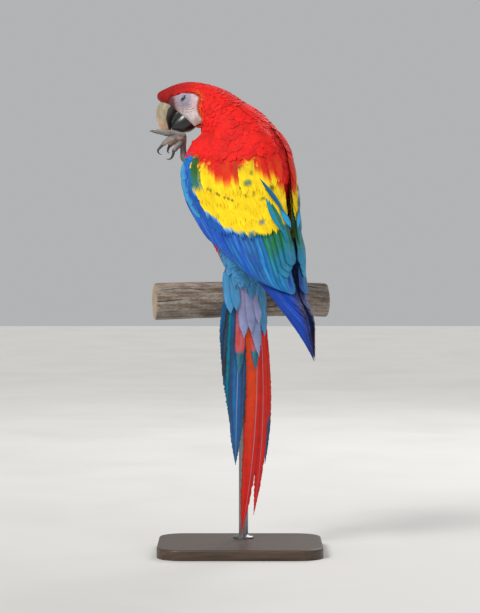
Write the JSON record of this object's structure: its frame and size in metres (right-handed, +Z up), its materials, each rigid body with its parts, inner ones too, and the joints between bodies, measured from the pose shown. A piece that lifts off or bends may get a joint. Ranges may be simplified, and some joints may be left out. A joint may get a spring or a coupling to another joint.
{
  "type": "scarlet macaw perched on a branch stand",
  "caption": "Life-size scarlet macaw standing on one foot on a cut branch with the other foot raised to its bill, long tail hanging, on a plain display stand",
  "frame": {"origin": "centre of the flat underside of the stand's base, where it rests on a table", "axes": "+Z up; +Y away from the viewer, so the bird is seen from behind and a little to its left along +Y; +X to the viewer's right, with the bird's head towards -X"},
  "size_m": [0.309, 0.232, 0.8006],
  "materials": {
    "scarlet_plumage": "matte",
    "wing_plumage": "satin",
    "tail_plumage": "satin",
    "bill_horn": "satin",
    "bill_black": "gloss",
    "eye": "gloss",
    "foot_skin": "matte",
    "claw_horn": "satin",
    "branch_wood": "matte",
    "rod_metal": "satin",
    "base_wood": "satin"
  },
  "bodies": {
    "root": {"torso": "scarlet_plumage", "neck": "scarlet_plumage", "head": "scarlet_plumage", "eye_left": "eye", "eye_right": "eye", "bill_upper": "bill_horn", "bill_lower": "bill_black", "wing_left": "wing_plumage", "wing_right": "wing_plumage", "tail": "tail_plumage", "thigh_left": "scarlet_plumage", "thigh_right": "scarlet_plumage", "foot_left": "foot_skin", "foot_right": "foot_skin", "claw_left_1": "claw_horn", "claw_left_2": "claw_horn", "claw_left_3": "claw_horn", "claw_left_4": "claw_horn", "claw_right_1": "claw_horn", "claw_right_2": "claw_horn", "claw_right_3": "claw_horn", "claw_right_4": "claw_horn", "perch_branch": "branch_wood", "stand_rod": "rod_metal", "stand_base": "base_wood"}
  },
  "joints": []
}
